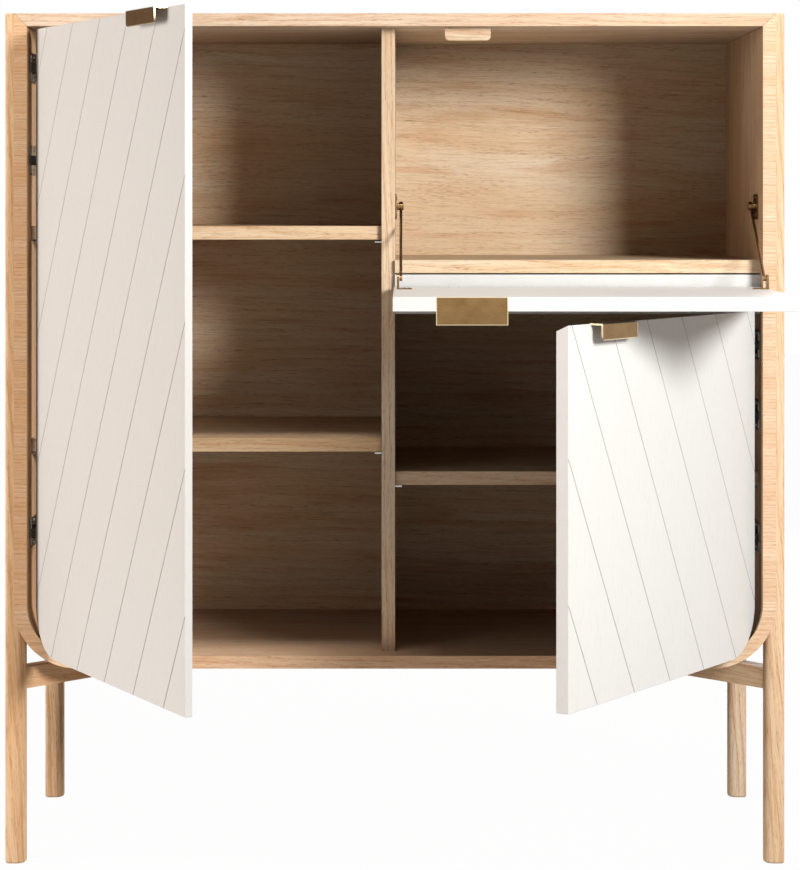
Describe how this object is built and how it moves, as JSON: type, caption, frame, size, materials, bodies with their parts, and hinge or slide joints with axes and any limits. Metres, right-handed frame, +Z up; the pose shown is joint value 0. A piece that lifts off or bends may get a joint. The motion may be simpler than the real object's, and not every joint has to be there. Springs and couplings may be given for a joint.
{
  "type": "highboard cabinet",
  "caption": "Oak highboard on full-height square legs, with white grooved doors and a white drop-front flap on brass stays over shelved compartments with bent lower corners.",
  "frame": {"origin": "on the floor below the middle of the object's box as it stands with the doors part open and the flap down", "axes": "+X to the right seen from the front, +Y to the back, +Z up"},
  "size_m": [1.1, 0.8523, 1.2],
  "materials": {
    "oak": "clear matt oil",
    "white_lacquer": "white lacquer, matt, open grain",
    "brass": "satin",
    "nickel": "nickel plated",
    "steel": "zinc plated"
  },
  "bodies": {
    "cabinet": {"top_panel": "oak", "left_side_panel": "oak", "right_side_panel": "oak", "left_bent_corner": "oak", "right_bent_corner": "oak", "bottom_panel": "oak", "back_panel": "oak", "divider": "oak", "desk_shelf": "oak", "flap_apron": "white_lacquer", "left_upper_shelf": "oak", "left_lower_shelf": "oak", "right_shelf": "oak", "shelf_pins": "nickel", "left_front_leg": "oak", "right_front_leg": "oak", "left_rear_leg": "oak", "right_rear_leg": "oak", "left_front_brace": "oak", "right_front_brace": "oak", "left_rear_brace": "oak", "right_rear_brace": "oak", "centre_rail": "oak", "frame_screws": "steel", "stop_block": "oak", "left_hinge_plates": "nickel", "left_hinge_arms": "nickel", "right_hinge_plates": "nickel", "right_hinge_arms": "nickel", "hinge_plate_screws": "nickel", "flap_hinge_arms": "nickel", "flap_arm_screws": "nickel", "left_stay_plate": "brass", "right_stay_plate": "brass", "stay_plate_screws": "brass"},
    "left_door": {"left_door": "white_lacquer", "left_handle": "brass", "left_handle_screws": "brass", "left_hinge_cups": "nickel", "left_cup_screws": "nickel"},
    "right_door": {"right_door": "white_lacquer", "right_handle": "brass", "right_handle_screws": "brass", "right_hinge_cups": "nickel", "right_cup_screws": "nickel"},
    "flap": {"flap": "white_lacquer", "flap_handle": "brass", "flap_handle_screws": "brass", "flap_hinge_housings": "nickel", "flap_hinge_pins": "nickel", "left_stay_foot": "brass", "right_stay_foot": "brass", "stay_foot_screws": "brass"},
    "left_stay_swivel": {"left_stay_swivel": "brass"},
    "right_stay_swivel": {"right_stay_swivel": "brass"},
    "left_stay_rod": {"left_stay_rod": "brass"},
    "right_stay_rod": {"right_stay_rod": "brass"}
  },
  "joints": [
    {"name": "left_door_hinge", "type": "hinge", "parent": "cabinet", "child": "left_door", "pos_m": [-0.5004, 0.00634, 0.73725], "axis": [0, 0, -1], "range_deg": [-60.75, 44]},
    {"name": "right_door_hinge", "type": "hinge", "parent": "cabinet", "child": "right_door", "pos_m": [0.5004, 0.00634, 0.53775], "axis": [0, 0, 1], "range_deg": [-55.7, 49]},
    {"name": "flap_hinge", "type": "hinge", "parent": "cabinet", "child": "flap", "pos_m": [0.2577, 0.01234, 0.80125], "axis": [-1, 0, 0], "range_deg": [0, 90]},
    {"name": "left_stay_swing", "type": "hinge", "parent": "cabinet", "child": "left_stay_swivel", "pos_m": [0, 0.07134, 0.9269], "axis": [1, 0, 0], "range_deg": [0, 5]},
    {"name": "left_stay_slide", "type": "slide", "parent": "left_stay_swivel", "child": "left_stay_rod", "axis": [0, 0.8108, 0.5853], "range_m": [0, 0.1175]},
    {"name": "right_stay_swing", "type": "hinge", "parent": "cabinet", "child": "right_stay_swivel", "pos_m": [0, 0.07134, 0.9269], "axis": [1, 0, 0], "range_deg": [0, 5]},
    {"name": "right_stay_slide", "type": "slide", "parent": "right_stay_swivel", "child": "right_stay_rod", "axis": [0, 0.8108, 0.5853], "range_m": [0, 0.1175]}
  ],
  "couplings": [
    {"joint": "left_stay_swing", "follows": "flap_hinge", "ratio": 0.055556},
    {"joint": "left_stay_slide", "follows": "flap_hinge", "m_per_rad": 0.074803},
    {"joint": "right_stay_swing", "follows": "flap_hinge", "ratio": 0.055556},
    {"joint": "right_stay_slide", "follows": "flap_hinge", "m_per_rad": 0.074803}
  ]
}
